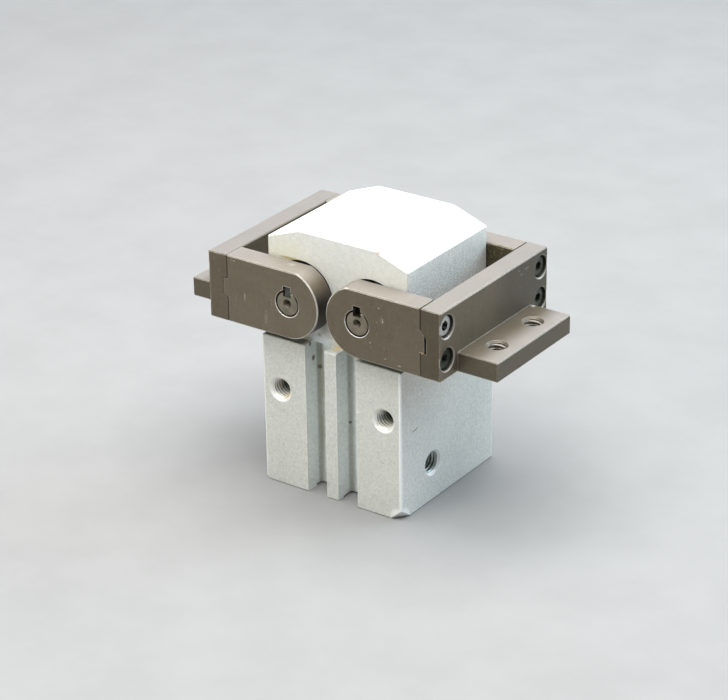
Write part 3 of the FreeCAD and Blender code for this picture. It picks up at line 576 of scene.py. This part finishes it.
# ------------------------------------------------------------------ threads cut in the tapped holes
def thread(name, mouth, into, r_wall, pitch, start, length, body, mat, r_mouth=None, per_turn=40):
    """An internal thread: a helical ridge with a flat crest and 60 degree flanks, faded out at its inner end,
    behind a conical lead-in down to the core diameter where r_mouth is given."""
    d = Vector(into).normalized()
    u = d.orthogonal().normalized()
    v = d.cross(u)
    h = 0.54 * pitch
    half_c, half_w = pitch / 8, pitch * 7 / 16
    steps = int(length / pitch * per_turn)
    verts, faces = [], []

    def ring_at(s, a, section):
        radial = u * math.cos(a) + v * math.sin(a)
        for r, off in section:
            verts.append((Vector(mouth) + d * (s + off) + radial * r) * MM)

    for k in range(steps + 1):
        fade = min(1.0, k / (0.3 * per_turn), (steps - k) / (0.6 * per_turn))
        fade = max(fade, 0.02)
        rc = r_wall + 0.03 - (h + 0.03) * fade
        hc = half_w + (half_c - half_w) * fade
        ring_at(start + pitch * k / per_turn, 2 * math.pi * k / per_turn,
                ((r_wall + 0.03, -half_w), (rc, -hc), (rc, hc), (r_wall + 0.03, half_w)))
        if k:
            b, c = 4 * (k - 1), 4 * k
            for i in range(4):
                j = (i + 1) % 4
                faces.append((b + i, b + j, c + j, c + i))
    faces.append((0, 1, 2, 3))
    e = 4 * steps
    faces.append((e + 3, e + 2, e + 1, e))
    if r_mouth:
        # conical lead-in, a closed ring
        core = r_wall - h
        s0, s1 = r_mouth - r_wall - 0.03, r_mouth - core
        section = ((r_wall + 0.03, s0), (core + 0.06, s1 - 0.06), (core + 0.06, s1 + 0.04), (r_wall + 0.03, s1 + 0.3))
        first, n = len(verts), 72
        for k in range(n):
            ring_at(0.0, 2 * math.pi * k / n, section)
        for k in range(n):
            b, c = first + 4 * k, first + 4 * ((k + 1) % n)
            for i in range(4):
                j = (i + 1) % 4
                faces.append((b + i, b + j, c + j, c + i))
    me = bpy.data.meshes.new(name)
    me.from_pydata([tuple(p) for p in verts], [], faces)
    me.validate()
    bm = bmesh.new()
    bm.from_mesh(me)
    bmesh.ops.recalc_face_normals(bm, faces=bm.faces)
    bm.to_mesh(me)
    bm.free()
    me.shade_smooth()
    me.set_sharp_from_angle(angle=math.radians(28))
    me.materials.append(mat)
    ob = bpy.data.objects.new(name, me)
    scene.collection.objects.link(ob)
    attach(ob, body)
    return ob


for sx, nx in ((1, "right"), (-1, "left")):
    thread("thread_front_" + nx, (13.5 * sx, -18, 23), (0, 1, 0), 2.5, 0.8, 1.05, 8.7,
           "gripper_body", THREAD_BODY, 2.9)
    thread("thread_rear_" + nx, (13.5 * sx, 18, 23), (0, -1, 0), 2.5, 0.8, 1.05, 8.7,
           "gripper_body", THREAD_BODY, 2.9)
    for sy, ny in ((-1, "front"), (1, "rear")):
        thread("thread_bottom_%s_%s" % (ny, nx), (13.5 * sx, 13.5 * sy, 0), (0, 0, 1), 2.5, 0.8, 0.95, 7.8,
               "gripper_body", THREAD_UNDER, 2.8)
        thread("thread_flange_%s_%s" % (ny, nx), (34.8 * sx, 7 * sy, 41.85), (0, 0, -1), 2.0, 0.7, 0.7, 3.2,
               nx + "_finger", THREAD_STEEL)
thread("thread_port_right", (18, -6, 9), (-1, 0, 0), 2.5, 0.8, 1.1, 4.2,
       "gripper_body", THREAD_PORT, 3.0)
thread("thread_port_left", (-18, 0, 16.6), (1, 0, 0), 2.5, 0.8, 1.1, 4.2,
       "gripper_body", THREAD_PORT, 3.0)


# ------------------------------------------------------------------ floor, light, camera
def area(name, place, target, size, size_y, power, color):
    li = bpy.data.lights.new(name, "AREA")
    li.shape = "RECTANGLE"
    li.size, li.size_y = size, size_y
    li.energy = power
    li.color = color
    ob = bpy.data.objects.new(name, li)
    ob.location = place
    ob.rotation_euler = (Vector(target) - Vector(place)).to_track_quat("-Z", "Y").to_euler()
    scene.collection.objects.link(ob)
    return ob


fm = bpy.data.meshes.new("floor")
S = 3.0
fm.from_pydata([(-S, -S, 0), (S, -S, 0), (S, S, 0), (-S, S, 0)], [], [(0, 1, 2, 3)])
floor = bpy.data.objects.new("floor", fm)
floor.location = (0, 0, -0.00001)
scene.collection.objects.link(floor)
g = Graph("floor_paper")
paper = g.noise(g.pos, 0.05, 4.0, 0.6)
fm.materials.append(g.done(g.mix(g.ramp(paper, 0.3, 0.7), (0.245, 0.245, 0.241), (0.26, 0.26, 0.256)), 0.8, 0.0, spec=0.2))

area("key", (-0.02, -0.03, 0.66), (0, 0, 0.03), 0.85, 0.85, 16.0, (1.0, 1.0, 1.0))
area("back", (-0.55, 0.80, 0.50), (0, 0, 0.05), 1.1, 0.7, 2.8, (0.74, 0.82, 1.0))
area("back_right", (0.60, 0.75, 0.50), (0, 0, 0.05), 0.8, 0.6, 9.9, (0.70, 0.87, 1.0))
area("front_left", (-0.30, -0.85, 0.36), (0, 0, 0.04), 0.7, 0.5, 2.6, (1.0, 0.99, 0.84))

world = bpy.data.worlds.new("studio")
world.use_nodes = True
world.node_tree.nodes["Background"].inputs[0].default_value = (0.86, 0.92, 1.0, 1.0)
world.node_tree.nodes["Background"].inputs[1].default_value = 0.04
scene.world = world

cam_data = bpy.data.cameras.new("camera")
cam_data.sensor_width = 36.0
cam_data.lens = 127.7676
cam_data.clip_start, cam_data.clip_end = 0.01, 20.0
cam = bpy.data.objects.new("camera", cam_data)
cam.location = (0.291388, -0.414692, 0.271565)
cam.rotation_euler = Euler([math.radians(a) for a in (64.4045, 0.7639, 35.0948)])
scene.collection.objects.link(cam)
scene.camera = cam
